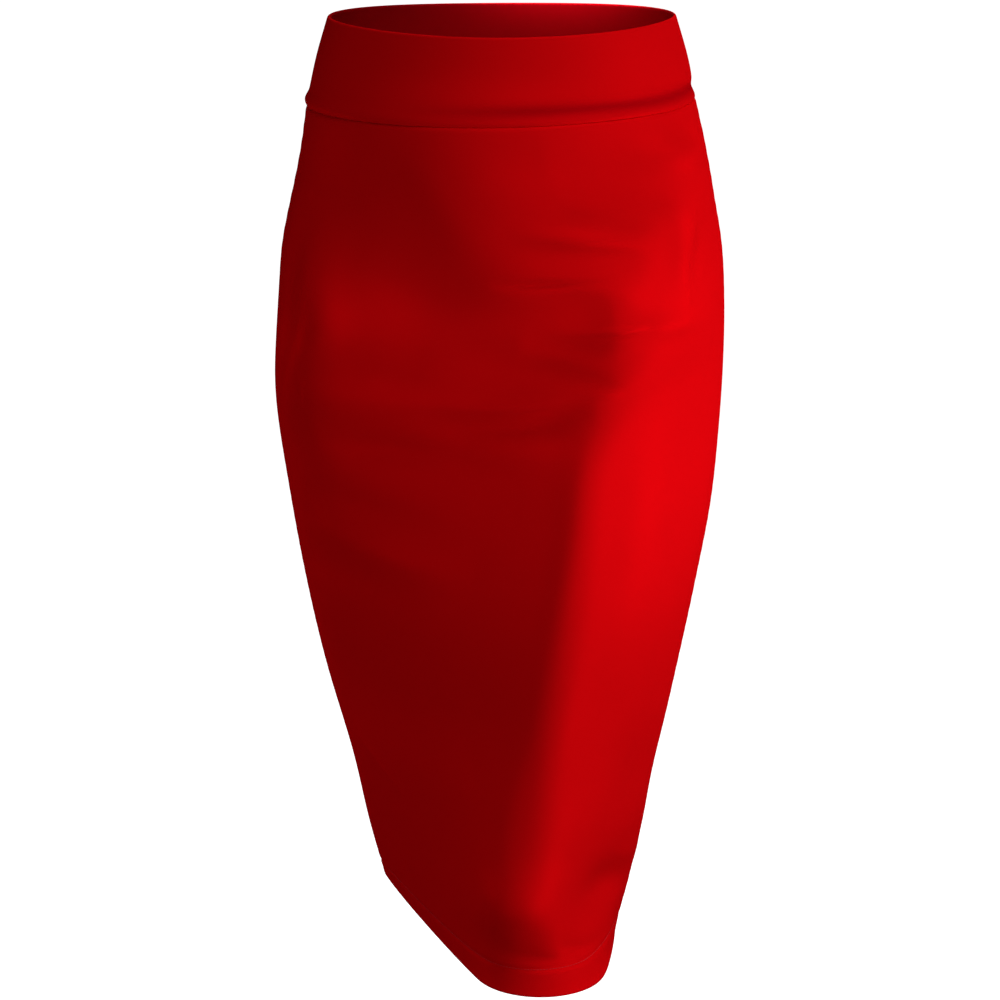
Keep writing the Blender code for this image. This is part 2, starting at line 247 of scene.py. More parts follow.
ALLOWANCE_EDGE_ROWS = (0.3, 0.8)    # rows close to an allowance's edges, mm from them
SIDE_ALLOWANCE_ROWS = 150
WAIST_ALLOWANCE_ROWS = 4
WAIST_ALLOWANCE_COLUMNS = 120
OVERLOCK_PITCH = 3.2
OVERLOCK_BITE = 4.0     # how far its threads reach in from the raw edge
THREAD = 0.4
THREAD_END = 1.0        # a thread ends this far from the ends of its allowance
THREAD_END_SHARE = 0.004            # and round the waist and hem by this share of a half
STITCH_SINK = 0.25      # how far a stitch's ends go into the cloth
STITCH_PROUD = 0.08     # and its middle stands off it
STITCH_GAP = 0.5        # between one stitch and the next
STITCH_SHOULDER = 0.6   # the share of its half over which a stitch lies flat
COVER_HALF = 2.4        # the hem's inner threads reach this far either side of its stitch row

FRONT_COLUMNS = 166
BACK_COLUMNS = 132
REFERENCE_GIRTH = 400.0 # about how far round a half is, for the columns close to its side seams
EDGE_COLUMNS = (0.0, 0.35, 0.9, 1.6, 2.6, 4.2)     # columns close to a side seam, mm from it
PANEL_ROWS = (
    (0.3, 1), (0.9, 1), (1.8, 1), (3.0, 1), (6.0, 2), (80.0, 28), (205.0, 76), (350.0, 48),
    (540.0, 52), (600.0, 24), (608.0, 6), (609.0, 1), (616.0, 12), (626.0, 5), (629.0, 3), (629.7, 1),
    (630.0, 1),
)
BAND_ROWS = (
    (0.1, 1), (0.4, 1), (0.9, 1), (1.6, 1), (2.6, 1), (4.5, 1), (44.0, 14), (57.0, 12),
    (58.4, 2), (59.3, 1), (59.8, 1), (60.0, 1),
)

# --- Knit ----------------------------------------------------------------------------------------

SMOOTH_FACE = (0.55, 0.00004)       # roughness, and how far its loops stand out, in metres
DULL_REVERSE = (0.7, 0.00006)
KNIT_METALLIC = 0.12    # gives the sheen the knit's own red
LOOP_STRENGTH = 0.35

# --- Studio --------------------------------------------------------------------------------------

FLOOR_RADIUS = 40.0     # metres
CAMERA_AIM = (-0.5, 0.0, -352.5)
# A softbox stands at its distance from the place it points at, which is so far left, back and down.
SOFTBOX_COLUMNS = (
    "name", "azimuth", "above", "distance", "width", "height", "watts",
    "aim_left", "aim_back", "aim_down",
)
SOFTBOXES = (
    ("near softbox at the left hip", 65, 8, 0.464, 0.35, 0.35, 0.84, 0, 0, 350),
    ("low front left softbox", 50, -21, 1.6, 0.7, 0.7, 8.21, 0, 0, 350),
    ("high left softbox", 53, 64, 1.6, 0.7, 0.7, 8.32, 0, 0, 350),
    ("high front softbox", 9, 44, 1.6, 0.7, 0.7, 1.99, 0, 0, 350),
    ("low right softbox", -36, -25, 1.6, 0.7, 0.7, 2.88, 0, 0, 350),
    ("right back softbox", -95, -6, 1.6, 0.7, 0.7, 3.68, 0, 0, 350),
    ("back softbox", 156, 34, 1.8, 0.9, 0.9, 9.0, 0, 0, 350),
    ("strip softbox over the waist", -20, 70, 0.04, 0.11, 0.02, 0.18, 47, 80, 5),
)


# --- Sizes and colours that can be changed -------------------------------------------------------


def to_linear(hex_colour):
    """An sRGB hex colour as the linear colour that shaders take."""
    channels = [int(hex_colour[i:i + 2], 16) / 255 for i in (1, 3, 5)]
    linear = [c / 12.92 if c <= 0.04045 else ((c + 0.055) / 1.055) ** 2.4 for c in channels]
    return (*linear, 1.0)


def length_property(name, description, default):
    """A size in metres."""
    return bpy.props.FloatProperty(
        name=name, description=description, default=default, min=0.0, precision=4, unit="LENGTH",
    )


def colour_property(name, description, hex_colour):
    return bpy.props.FloatVectorProperty(
        name=name, description=description, default=to_linear(hex_colour)[:3],
        size=3, min=0.0, max=1.0, subtype="COLOR",
    )


class SkirtCut(bpy.types.PropertyGroup):
    panel_wall: length_property("Panel cloth", "Thickness of one layer of knit", 0.0012)
    hem_wall: length_property("Hem cloth", "Thickness where the hem is turned up, two layers", 0.0024)
    band_wall: length_property("Band cloth", "Thickness of the doubled band over its elastic", 0.0026)
    hem_depth: length_property("Hem depth", "How far the hem is turned up inside", 0.021)
    allowance: length_property("Seam allowance", "Width of the overlocked edges inside", 0.0105)
    stitch: length_property("Stitch length", "Length of one hem stitch", 0.0026)
    fold_depth: bpy.props.FloatProperty(
        name="Fold depth", description="Depth of the folds, as a share of the folds worn here",
        default=1.0, min=0.0, max=2.0, subtype="FACTOR",
    )


class SkirtKnit(bpy.types.PropertyGroup):
    face: colour_property("Face", "Colour of the knit's face", "#e6040c")
    face_worn: colour_property("Face, uneven dye", "What the face drifts to from place to place", "#e1040b")
    face_painted_crease_shade: colour_property("Face, closed up", "The face where a pinch closes its loops up", "#b6000a")
    # painted shade: the darker red that the face is painted along the band's ditch
    reverse: colour_property("Reverse", "Colour of the knit's duller reverse", "#dc000c")
    # painted shade: the band's inner layer is darkened well below the knit's own red, standing in for the
    # shade inside the waist
    band_inside_painted_shade: colour_property("Inside of band", "Colour of the band's inner layer", "#8e0209")
    thread: colour_property("Thread", "Colour of the sewing thread", "#c8000d")
    wale: length_property("Wale spacing", "Distance between the knit's upright ribs", 0.0012)
    course: length_property("Course spacing", "Distance between its rows of loops", 0.0010)


class SkirtStudio(bpy.types.PropertyGroup):
    lens: bpy.props.FloatProperty(
        name="Lens", description="The camera's focal length in millimetres", default=105.0, min=20.0,
    )
    distance: length_property("Camera distance", "From the middle of the skirt to the camera", 2.13)
    elevation: bpy.props.FloatProperty(
        name="Camera elevation", description="How far above level the camera looks from",
        default=np.radians(16.5), subtype="ANGLE",
    )
    floor_drop: length_property("Floor drop", "How far the floor lies below the hem", 0.45)
    key_power: bpy.props.FloatProperty(
        name="Power", description="Multiplies every softbox's own power", default=1.0, min=0.0,
    )
    fill: bpy.props.FloatProperty(
        name="Fill", description="Strength of the even light from all round", default=0.0, min=0.0,
    )


# --- Working out the form -----------------------------------------------------------------------


def along(table, columns, name, down):
    """A column of a table at any height, on a smooth curve through its rows."""
    rows = np.array(table, float)
    heights = rows[:, columns.index("down")]
    values = rows[:, columns.index(name)]
    slopes = np.gradient(values, heights)
    below = int(np.clip(np.searchsorted(heights, down) - 1, 0, len(heights) - 2))
    step = heights[below + 1] - heights[below]
    t = (down - heights[below]) / step
    return (
        (1 + 2 * t) * (1 - t) ** 2 * values[below]
        + t * (1 - t) ** 2 * step * slopes[below]
        + t * t * (3 - 2 * t) * values[below + 1]
        + t * t * (t - 1) * step * slopes[below + 1]
    )


def stretched_ring(down):
    """The closed section at one height: its points and outward normals, anticlockwise from +X."""
    size = {name: along(SECTIONS, SECTION_COLUMNS, name, down) for name in SECTION_COLUMNS[1:]}
    turn = np.linspace(0, 2 * np.pi, TURN_STEPS + 1)
    cos, sin = np.cos(turn), np.sin(turn)
    depth = np.where(sin > 0, size["back"], size["front"])
    oval = np.sqrt((size["half_width"] * cos) ** 2 + (depth * sin) ** 2)
    oval_slope = (depth ** 2 - size["half_width"] ** 2) * sin * cos / oval
    reach = [oval + size["oval_x"] * cos + size["oval_y"] * sin]
    slope = [oval_slope - size["oval_x"] * sin + size["oval_y"] * cos]
    for leg in ("lead", "trail"):
        x, y = size[leg + "_x"], size[leg + "_y"]
        reach.append(size[leg + "_round"] + x * cos + y * sin)
        slope.append(y * cos - x * sin)
    reach, slope = np.array(reach), np.array(slope)
    furthest = reach.max(axis=0)
    weight = np.exp((reach - furthest) / CLING)
    total = weight.sum(axis=0)
    reach = furthest + CLING * np.log(total)
    slope = (weight * slope).sum(axis=0) / total
    return np.stack([reach * cos - slope * sin, reach * sin + slope * cos, cos, sin], axis=1)


def even_steps(stretch):
    """A stretch of a ring, read again at even steps along it, and its length."""
    steps = np.hypot(*np.diff(stretch[:, :2], axis=0).T)
    travelled = np.concatenate([[0.0], np.cumsum(steps)])
    length = travelled[-1]
    wanted = np.linspace(0, length, STATIONS + 1)
    return np.stack([np.interp(wanted, travelled, values) for values in stretch.T], axis=1), length


def half_form(half):
    """Every section's front or back half, side seam to side seam, and how far round each one is."""
    middle = TURN_STEPS // 2
    part = slice(middle, None) if half == "front" else slice(0, middle + 1)
    halves = [even_steps(stretched_ring(down)[part]) for down in np.linspace(0, LENGTH, RINGS)]
    return np.array([ring for ring, _ in halves]), np.array([girth for _, girth in halves])


FORM = {half: half_form(half) for half in ("front", "back")}


def read_form(half, u, down):
    """Point, normal and girth of the half at the share u round it, 0 and 1 at its side seams."""
    rings, girths = FORM[half]
    row = np.clip(down / LENGTH, 0, 1) * (RINGS - 1)
    low = np.minimum(row.astype(int), RINGS - 2)
    station = np.clip(u, 0, 1) * STATIONS
    left = np.minimum(station.astype(int), STATIONS - 1)
    r, s = (row - low)[:, None], (station - left)[:, None]
    above = rings[low, left] * (1 - s) + rings[low, left + 1] * s
    below = rings[low + 1, left] * (1 - s) + rings[low + 1, left + 1] * s
    here = above * (1 - r) + below * r
    here[:, 2:] /= np.hypot(here[:, 2], here[:, 3])[:, None]
    return here[:, :2], here[:, 2:], np.interp(row, np.arange(RINGS), girths)


def soft_bump(distance, half_width):
    """One at no distance, fading smoothly to almost nothing at twice the half width."""
    return np.exp(-((distance / half_width) ** 2))


def rolled_in(distance, reach):
    """How far an edge has rolled in, from one at the edge to nothing at its reach, as a quarter round."""
    left = 1 - np.clip(distance / reach, 0, 1)
    return 1 - np.sqrt(np.clip(1 - left * left, 0, 1))


def fold_relief(folds, across, down):
    """How far the folds lift the cloth, in millimetres."""
    lift = np.zeros_like(across)
    for row in folds:
        fold = dict(zip(FOLD_COLUMNS, row))
        start = np.array([fold["from_across"], fold["from_down"]], float)
        run = np.array([fold["to_across"], fold["to_down"]], float) - start
        length = np.hypot(*run)
        run /= length
        along_fold = ((across - start[0]) * run[0] + (down - start[1]) * run[1]) / length
        off = (down - start[1]) * run[0] - (across - start[0]) * run[1]
        share = np.clip(along_fold, 0, 1)
        off = off - fold["bow"] * 4 * share * (1 - share)
        half_width = fold["from_half_width"] + share * (fold["to_half_width"] - fold["from_half_width"])
        swelling = np.sin(np.pi * share ** (np.log(0.5) / np.log(fold["peak"])))
        lift += fold["height"] * np.clip(swelling, 0, 1) ** FOLD_FADE * soft_bump(off, half_width)
    return lift


def to_left(half, u):
    """How far a place is to the wearer's left, from -1 at the right side seam to 1."""
    return -np.cos(np.pi * u) if half == "front" else np.cos(np.pi * u)


def waist_edge(half, u):
    """How far down the band's top edge lies."""
    dip = WAIST_DIP_FRONT if half == "front" else WAIST_DIP_BACK
    return dip * np.sin(np.pi * u) ** 2 - WAIST_SWAY * to_left(half, u)


def seam_edge(half, u):
    """How far down the waist seam lies."""
    dip = SEAM_DIP_FRONT if half == "front" else 0.0
    return BAND_HEIGHT + dip * np.sin(np.pi * u) ** 2 - SEAM_SWAY * to_left(half, u)


def ripple(half, u, girth, down):
    """Small uneven ripples beside the side seams, from the pull of their sewing."""
    from_side = np.minimum(u, 1 - u) * girth
    phase = np.where(u < 0.5, 0.0, PUCKER_SHIFT) + (0.0 if half == "front" else PUCKER_BACK)
    drift = PUCKER_DRIFT * np.sin(down / PUCKER_DRIFT_LENGTH + phase)
    wave = np.sin(2 * np.pi * down / PUCKER_PITCH + phase + drift)
    patch = 0.5 + 0.5 * np.sin(down / PUCKER_PATCH_LENGTH + 3.0 * phase)
    return PUCKER * patch * wave * np.exp(-from_side / PUCKER_REACH)


def panel_faces(cut, half, u, down):
    """How far a panel's outer and inner faces lie off the stretched form, and the place across."""
    _, _, girth = read_form(half, u, down)
    across = (u - 0.5) * girth
    lift = cut.fold_depth * fold_relief(FOLDS[half], across, down)
    for row in SWELLS[half]:
        swell = dict(zip(SWELL_COLUMNS, row))
        off_across = (across - swell["across"]) / swell["half_across"]
        off_down = (down - swell["down"]) / swell["half_down"]
        lift += swell["height"] * soft_bump(np.hypot(off_across, off_down), 1.0)
    if half == "front":
        into_hem = np.clip((down - LENGTH + KICK_DEPTH) / KICK_DEPTH, 0, 1)
        lift += HEM_KICK * into_hem ** 2 * soft_bump(across - KICK_ACROSS, KICK_SPREAD)
    lift += ripple(half, u, girth, down)
    wall = cut.panel_wall / MM
    doubled = np.clip((down - LENGTH + cut.hem_depth / MM + HEM_STEP) / HEM_STEP, 0, 1)
    wall = wall + (cut.hem_wall / MM - wall) * doubled
    from_side = np.minimum(u, 1 - u) * girth
    from_seam = down - seam_edge(half, u) - SEAM_GAP / 2
    rolled = SIDE_ROLL_IN * rolled_in(from_side, SIDE_ROLL) + SEAM_ROLL_IN * rolled_in(from_seam, SEAM_ROLL)
    groove = STITCH_GROOVE * soft_bump(down - LENGTH + HEM_STITCH_UP, STITCH_GROOVE_HALF)
    edge = EDGE_ROUND * cut.hem_wall / MM / 2 * rolled_in(LENGTH - down, cut.hem_wall / MM / 2)
    outer = lift - rolled - groove - edge
    behind = lift - wall - SEAM_ROLL_IN * rolled_in(from_seam, SEAM_ROLL) + edge
    inner = np.minimum(behind, outer - LEAST_WALL)
    return outer, inner, across, np.zeros_like(u)


def band_faces(cut, half, u, down):
    """The same for the band: its folded top edge, the roll along its lower edge, the ditch above, and the
    painted shade that darkens the ditch.
    """
    _, _, girth = read_form(half, u, down)
    across = (u - 0.5) * girth
    from_right = u if half == "front" else 1 - u
    leftness = np.clip((0.5 + 0.5 * to_left(half, u) - DITCH_FROM) / (DITCH_FULL - DITCH_FROM), 0, 1)
    leftness = leftness ** 2 * (3 - 2 * leftness)
    from_seam = down - (seam_edge(half, u) - BAND_HEIGHT)
    proud = ROLL_PROUD + (ROLL_PROUD_RIGHT - ROLL_PROUD) * soft_bump(from_right, ROLL_RIGHT_SHARE)
    lift = proud * soft_bump(from_seam - ROLL_CENTRE, ROLL_HALF_HEIGHT)
    # painted shade: how much the face's colour is darkened along the ditch, beside its real dent
    closed = leftness * soft_bump(from_seam - DITCH_CENTRE, DITCH_HALF_HEIGHT)
    lift = lift - DITCH_DEEP * closed
    from_side = np.minimum(u, 1 - u) * girth
    rolled = SIDE_ROLL_IN * rolled_in(from_side, SIDE_ROLL)
    rolled = rolled + SEAM_ROLL_IN * rolled_in(BAND_HEIGHT - from_seam, SEAM_ROLL)
    wall = cut.band_wall / MM
    lip = EDGE_ROUND * wall / 2 * rolled_in(down - waist_edge(half, u), wall / 2)
    outer = lift - rolled - lip
    inner = -wall + lip
    return outer, inner, across, closed


def allowance_faces(cut, half, u, down, from_edges):
    """The faces of a seam allowance that lies pressed against a panel's inside."""
    _, behind, across, closed = panel_faces(cut, half, u, down)
    outer = behind - ALLOWANCE_CLEAR
    thinned = 1 - ALLOWANCE_THINNED * rolled_in(from_edges, ALLOWANCE_WALL / 2)
    return outer, outer - ALLOWANCE_WALL * thinned, across, closed


def side_allowance_place(side, off, down):
    """The share round the back at a distance off the wearer's left or right side seam."""
    _, _, girth = read_form("back", np.zeros_like(down), down)
    return off / girth if side == "left" else 1 - off / girth


# --- Making the cloth ----------------------------------------------------------------------------


def steps_to(spans):
    """Positions from nothing on, from a table of (up to, number of steps)."""
    places = [0.0]
    for end, count in spans:
        places.extend(np.linspace(places[-1], end, count + 1)[1:])
    return np.array(places)


def allowance_rows(width, inner_rows):
    """Positions from one edge of an allowance to the other: a few close to each edge, the rest even."""
    near, far = ALLOWANCE_EDGE_ROWS
    return steps_to(((near, 1), (far, 1), (width - far, inner_rows), (width - near, 1), (width, 1)))


def column_shares(columns):
    """Shares round a half for its columns: a few close to each side seam, the rest even."""
    edge = np.array(EDGE_COLUMNS) / REFERENCE_GIRTH
    inner = columns - 2 * (len(edge) - 1)
    middle = np.linspace(edge[-1], 1 - edge[-1], inner + 1)
    return np.concatenate([edge[:-1], middle, 1 - edge[-2::-1]])


def on_form(half, u, down, lift):
    """Points in metres at a lift off the form, in millimetres."""
    _, _, girth = read_form(half, u, down)
    gap_share = SEAM_GAP / 2 / girth
    point, normal, _ = read_form(half, gap_share + u * (1 - 2 * gap_share), down)
    point = point + normal * lift[:, None]
    return np.column_stack([point, -down]) * MM, normal


def cloth_shell(name, half, shares, rows, shape, materials):
    """A closed shell of cloth: a flat slab wrapped round the form, with a UV map in metres.

    shape takes the place among the columns and the rows, and gives back the share round the half, how
    far down it hangs, the lifts of its outer and inner faces, the distance across, and how much
    painted shade darkens the face there.
    """
    mesh = bpy.data.meshes.new(name)
    slab = bmesh.new()
    uv = slab.loops.layers.uv.new("cloth")
    columns, steps = len(shares) - 1, len(rows) - 1
    bmesh.ops.create_grid(slab, x_segments=columns, y_segments=steps, size=0.5)
    made = bmesh.ops.extrude_face_region(slab, geom=slab.faces[:], use_keep_orig=True)
    inner_verts = [item for item in made["geom"] if isinstance(item, bmesh.types.BMVert)]
    bmesh.ops.translate(slab, verts=inner_verts, vec=(0, 0, 1))
    bmesh.ops.recalc_face_normals(slab, faces=slab.faces[:])

    flat = np.array([vert.co for vert in slab.verts])
    u = np.interp((flat[:, 0] + 0.5) * columns, np.arange(columns + 1), shares)
    place = np.interp((flat[:, 1] + 0.5) * steps, np.arange(steps + 1), rows)
    u, down, outer, inner, across, closed = shape(u, place)
    points, _ = on_form(half, u, down, np.where(flat[:, 2] > 0.5, inner, outer))
    for face in slab.faces:
        face.material_index = int(all(vert.co.z > 0.5 for vert in face.verts))
        for loop in face.loops:
            index = loop.vert.index
            loop[uv].uv = (across[index] * MM, -down[index] * MM)
    for vert, point in zip(slab.verts, points):
        vert.co = point
    slab.to_mesh(mesh)
    slab.free()
    # this attribute carries the painted shade of the ditch, on the outer faces only
    mesh.attributes.new("closed", "FLOAT", "POINT").data.foreach_set("value", closed * (flat[:, 2] < 0.5))
    return finished(name, mesh, materials)


def finished(name, mesh, materials):
    """An object for a mesh, shaded smooth, riding on the one body."""
    mesh.shade_smooth()
    for material in materials:
        mesh.materials.append(material)
    piece = bpy.data.objects.new(name, mesh)
    bpy.context.collection.objects.link(piece)
    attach(piece, "root")
    return piece


def thread_along(name, runs, material):
    """Sewing threads through runs of points in metres, each a thin round tube, as one mesh."""
    curve = bpy.data.curves.new(name, "CURVE")
    curve.dimensions = "3D"
    curve.bevel_depth = THREAD / 2 * MM
    curve.bevel_resolution = 1
    curve.use_fill_caps = True
    for run in runs:
        spline = curve.splines.new("POLY")
        spline.points.add(len(run) - 1)
        spline.points.foreach_set("co", np.column_stack([run, np.ones(len(run))]).ravel())
    guide = bpy.data.objects.new(name + "_guide", curve)
    mesh = bpy.data.meshes.new_from_object(guide)
    mesh.name = name
    bpy.data.objects.remove(guide)
    bpy.data.curves.remove(curve)
    piece = finished(name, mesh, (material,))
    return piece


def zigzag(from_off, to_off, count):
    """Offsets that go to and fro."""
    return np.where(np.arange(count) % 2 == 0, from_off, to_off).astype(float)


# --- Materials -----------------------------------------------------------------------------------


def add_node(tree, kind, links=(), inputs=(), **settings):
    """Adds a node with its settings and fixed inputs, and links what feeds its other inputs."""
    node = tree.nodes.new(kind)
    for key, value in settings.items():
        setattr(node, key, value)
    for key, value in dict(inputs).items():
        node.inputs[key].default_value = value
    for key, socket in dict(links).items():
        tree.links.new(socket, node.inputs[key])
    return node


def knit_material(name, knit, colour, drift, roughness, loop_height):
    """Double knit of viscose, nylon and elastane, called ponte.

    Two locked layers of fine loops, so its face is smooth and close, with a soft low sheen in its
    own colour, and only a faint grain of wales.
    """
    material = bpy.data.materials.new(name)
    material.use_nodes = True
    tree = material.node_tree
    shader = tree.nodes["Principled BSDF"]
    shader.inputs["Roughness"].default_value = roughness
    shader.inputs["Metallic"].default_value = KNIT_METALLIC
    shader.inputs["Specular IOR Level"].default_value = 0.0
    shader.inputs["Specular Tint"].default_value = to_linear("#ff2a22")
    coords = add_node(tree, "ShaderNodeTexCoord")
    split = add_node(tree, "ShaderNodeSeparateXYZ", {0: coords.outputs["UV"]})
    # loops: a V in every wale, repeated down the courses
    wales = add_node(tree, "ShaderNodeMath", {0: split.outputs[0]}, {1: knit.wale}, operation="DIVIDE")
    courses = add_node(tree, "ShaderNodeMath", {0: split.outputs[1]}, {1: knit.course}, operation="DIVIDE")
    leg = add_node(tree, "ShaderNodeMath", {0: wales.outputs[0]}, {1: 0.5}, operation="PINGPONG")
    slant = add_node(tree, "ShaderNodeMath", {0: courses.outputs[0], 1: leg.outputs[0]}, operation="ADD")
    yarn = add_node(tree, "ShaderNodeMath", {0: slant.outputs[0]}, {1: 0.5}, operation="PINGPONG")
    loops = add_node(tree, "ShaderNodeMath", {0: leg.outputs[0], 1: yarn.outputs[0]}, operation="MULTIPLY")
    bump = add_node(tree, "ShaderNodeBump", {"Height": loops.outputs[0]},
                    {"Strength": LOOP_STRENGTH, "Distance": loop_height})
    tree.links.new(bump.outputs[0], shader.inputs["Normal"])
    # the dye takes a little unevenly
    uneven = add_node(tree, "ShaderNodeTexNoise", {"Vector": coords.outputs["Object"]},
                      {"Scale": 30.0, "Detail": 3.0})
    dye = add_node(tree, "ShaderNodeMix", {"Factor": uneven.outputs["Fac"]},
                   {"A": (*colour, 1.0), "B": (*drift, 1.0)}, data_type="RGBA")
    # painted shade: along the band's ditch the face's colour is darkened, standing in for the shade in the
    # crease
    painted_crease_shade = add_node(tree, "ShaderNodeAttribute", attribute_name="closed")
    cloth = add_node(tree, "ShaderNodeMix", {"Factor": painted_crease_shade.outputs["Fac"], "A": dye.outputs["Result"]},
                     {"B": (*knit.face_painted_crease_shade, 1.0)}, data_type="RGBA")
    tree.links.new(cloth.outputs["Result"], shader.inputs["Base Color"])
    return material


def thread_material(name, knit):
    """Textured polyester thread: fluffy filaments, so it is dull and a shade darker."""
    material = bpy.data.materials.new("textured polyester " + name)
    material.use_nodes = True
    tree = material.node_tree
    shader = tree.nodes["Principled BSDF"]
    shader.inputs["Roughness"].default_value = 0.7
    coords = add_node(tree, "ShaderNodeTexCoord")
    strands = add_node(tree, "ShaderNodeTexNoise", {"Vector": coords.outputs["Object"]},
                       {"Scale": 1800.0, "Detail": 1.0})
    tone = add_node(tree, "ShaderNodeMix", {"Factor": strands.outputs["Fac"]},
                    {"A": (*knit.thread, 1.0), "B": (*knit.reverse, 1.0)}, data_type="RGBA")
    tree.links.new(tone.outputs["Result"], shader.inputs["Base Color"])
    return material


def paper_material():
    """Matt white background paper, lit so evenly that it shows no shade of its own."""
    material = bpy.data.materials.new("background paper")
    material.use_nodes = True
    tree = material.node_tree
    shader = tree.nodes["Principled BSDF"]
    shader.inputs["Roughness"].default_value = 0.9
    shader.inputs["Emission Strength"].default_value = 1.1
    coords = add_node(tree, "ShaderNodeTexCoord")
    tooth = add_node(tree, "ShaderNodeTexNoise", {"Vector": coords.outputs["Object"]}, {"Scale": 400.0})
    white = add_node(tree, "ShaderNodeMix", {"Factor": tooth.outputs["Fac"]},
                     {"A": to_linear("#ffffff"), "B": to_linear("#fdfdfd")}, data_type="RGBA")
    tree.links.new(white.outputs["Result"], shader.inputs["Emission Color"])
    return material


# --- Operators -----------------------------------------------------------------------------------


class MakePanels(bpy.types.Operator):
    """Make the front and back panels, with their folds and the turned-up hem"""
    bl_idname = "skirt.make_panels"
    bl_label = "Make Panels"

    def execute(self, context):
        cut, knit = context.scene.skirt_cut, context.scene.skirt_knit
        face = knit_material("ponte knit face", knit, knit.face, knit.face_worn, *SMOOTH_FACE)
        reverse = knit_material("ponte knit reverse", knit, knit.reverse, knit.face_worn, *DULL_REVERSE)
        for half, columns, area in (("front", FRONT_COLUMNS, 0.262), ("back", BACK_COLUMNS, 0.238)):

            def shape(u, place):
                top = seam_edge(half, u) + SEAM_GAP / 2
                down = top + (LENGTH - top) * place / (LENGTH - BAND_HEIGHT)
                return (u, down, *panel_faces(cut, half, u, down))

            panel = cloth_shell(
                "panel_" + half, half, column_shares(columns), steps_to(PANEL_ROWS), shape, (face, reverse),
            )
            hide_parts(half + "_panel")
        return {"FINISHED"}


class MakeWaistband(bpy.types.Operator):
    """Make the doubled waistband's front and back"""
    bl_idname = "skirt.make_waistband"
    bl_label = "Make Waistband"

    def execute(self, context):
        cut, knit = context.scene.skirt_cut, context.scene.skirt_knit
        face = knit_material("ponte knit over elastic", knit, knit.face, knit.face_worn, *SMOOTH_FACE)
        # painted shade: the band's inside takes the darkened colour that stands in for the shade inside the
        # waist
        inside = knit_material("ponte knit inside the band", knit, knit.band_inside_painted_shade, knit.band_inside_painted_shade, *DULL_REVERSE)
        for half, columns in (("front", FRONT_COLUMNS), ("back", BACK_COLUMNS)):

            def shape(u, place):
                top = waist_edge(half, u)
                bottom = seam_edge(half, u) - SEAM_GAP / 2
                down = top + (bottom - top) * place / BAND_HEIGHT
                return (u, down, *band_faces(cut, half, u, down))

            band = cloth_shell(
                "waistband_cloth_" + half, half, column_shares(columns), steps_to(BAND_ROWS), shape,
                (face, inside),
            )
            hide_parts("waistband_" + half)
        return {"FINISHED"}


class MakeAllowances(bpy.types.Operator):
    """Make the overlocked seam allowances inside, with their threads"""
    bl_idname = "skirt.make_allowances"
    bl_label = "Make Seam Allowances"

    def execute(self, context):
        cut, knit = context.scene.skirt_cut, context.scene.skirt_knit
        self.reverse = knit_material(
            "ponte knit allowance", knit, knit.reverse, knit.face_worn, *DULL_REVERSE,
        )
        self.thread = thread_material("overlock thread", knit)
        self.width = cut.allowance / MM
        for side in ("left", "right"):
            self.make_side(cut, side)
        for half in ("front", "back"):
            self.make_waist(cut, half)
        return {"FINISHED"}

    def make_side(self, cut, side):
        """Both layers of a side seam, turned to the back, from the waist allowance to the hem."""
        top = BAND_HEIGHT + SEAM_SWAY + self.width + ALLOWANCE_ENDS
        bottom = LENGTH - cut.hem_depth / MM - HEM_STEP - ALLOWANCE_HEM_CLEAR
        reach = self.width - ALLOWANCE_START

        def shape(share, place):
            down = top + place
            off = ALLOWANCE_START + reach * (share if side == "left" else 1 - share)
            u = side_allowance_place(side, off, down)
            from_edges = np.minimum(self.width - off, np.minimum(down - top, bottom - down))
            return (u, down, *allowance_faces(cut, "back", u, down, from_edges))

        shares = np.array(ALLOWANCE_SHARES)
        rows = allowance_rows(bottom - top, SIDE_ALLOWANCE_ROWS)
        strip = cloth_shell("allowance_side_" + side, "back", shares, rows, shape, (self.reverse,) * 2)

        down = np.arange(top + THREAD_END, bottom - THREAD_END, OVERLOCK_PITCH / 2)
        looped = zigzag(self.width, self.width - OVERLOCK_BITE, len(down))
        needle = np.full(len(down), self.width - OVERLOCK_BITE)
        runs = []
        for off in (looped, needle):
            u = side_allowance_place(side, off, down)
            runs.append(self.on_allowance(cut, "back", u, down))
        thread_along("overlock_side_" + side, runs, self.thread)

    def make_waist(self, cut, half):
        """The waist seam's layers, pointing down."""
        reach = self.width - ALLOWANCE_START

        def shape(u, place):
            down = seam_edge(half, u) + ALLOWANCE_START + place
            from_edges = np.minimum(place, reach - place)
            return (u, down, *allowance_faces(cut, half, u, down, from_edges))

        shares, rows = column_shares(WAIST_ALLOWANCE_COLUMNS), allowance_rows(reach, WAIST_ALLOWANCE_ROWS)
        strip = cloth_shell("allowance_waist_" + half, half, shares, rows, shape, (self.reverse,) * 2)

        girth = read_form(half, np.zeros(1), np.full(1, BAND_HEIGHT))[2][0]
        turns = int(girth / (OVERLOCK_PITCH / 2))
        u = np.linspace(THREAD_END_SHARE, 1 - THREAD_END_SHARE, turns)
        runs = []
        for off in (zigzag(self.width, self.width - OVERLOCK_BITE, len(u)),
                    np.full(len(u), self.width - OVERLOCK_BITE)):
            runs.append(self.on_allowance(cut, half, u, seam_edge(half, u) + off))
        thread_along("overlock_waist_" + half, runs, self.thread)

    def on_allowance(self, cut, half, u, down):
        """Points for a thread that lies on an allowance."""
        _, behind, _, _ = panel_faces(cut, half, u, down)
        lift = behind - ALLOWANCE_CLEAR - ALLOWANCE_WALL - THREAD / 4
        return on_form(half, u, down, lift)[0]


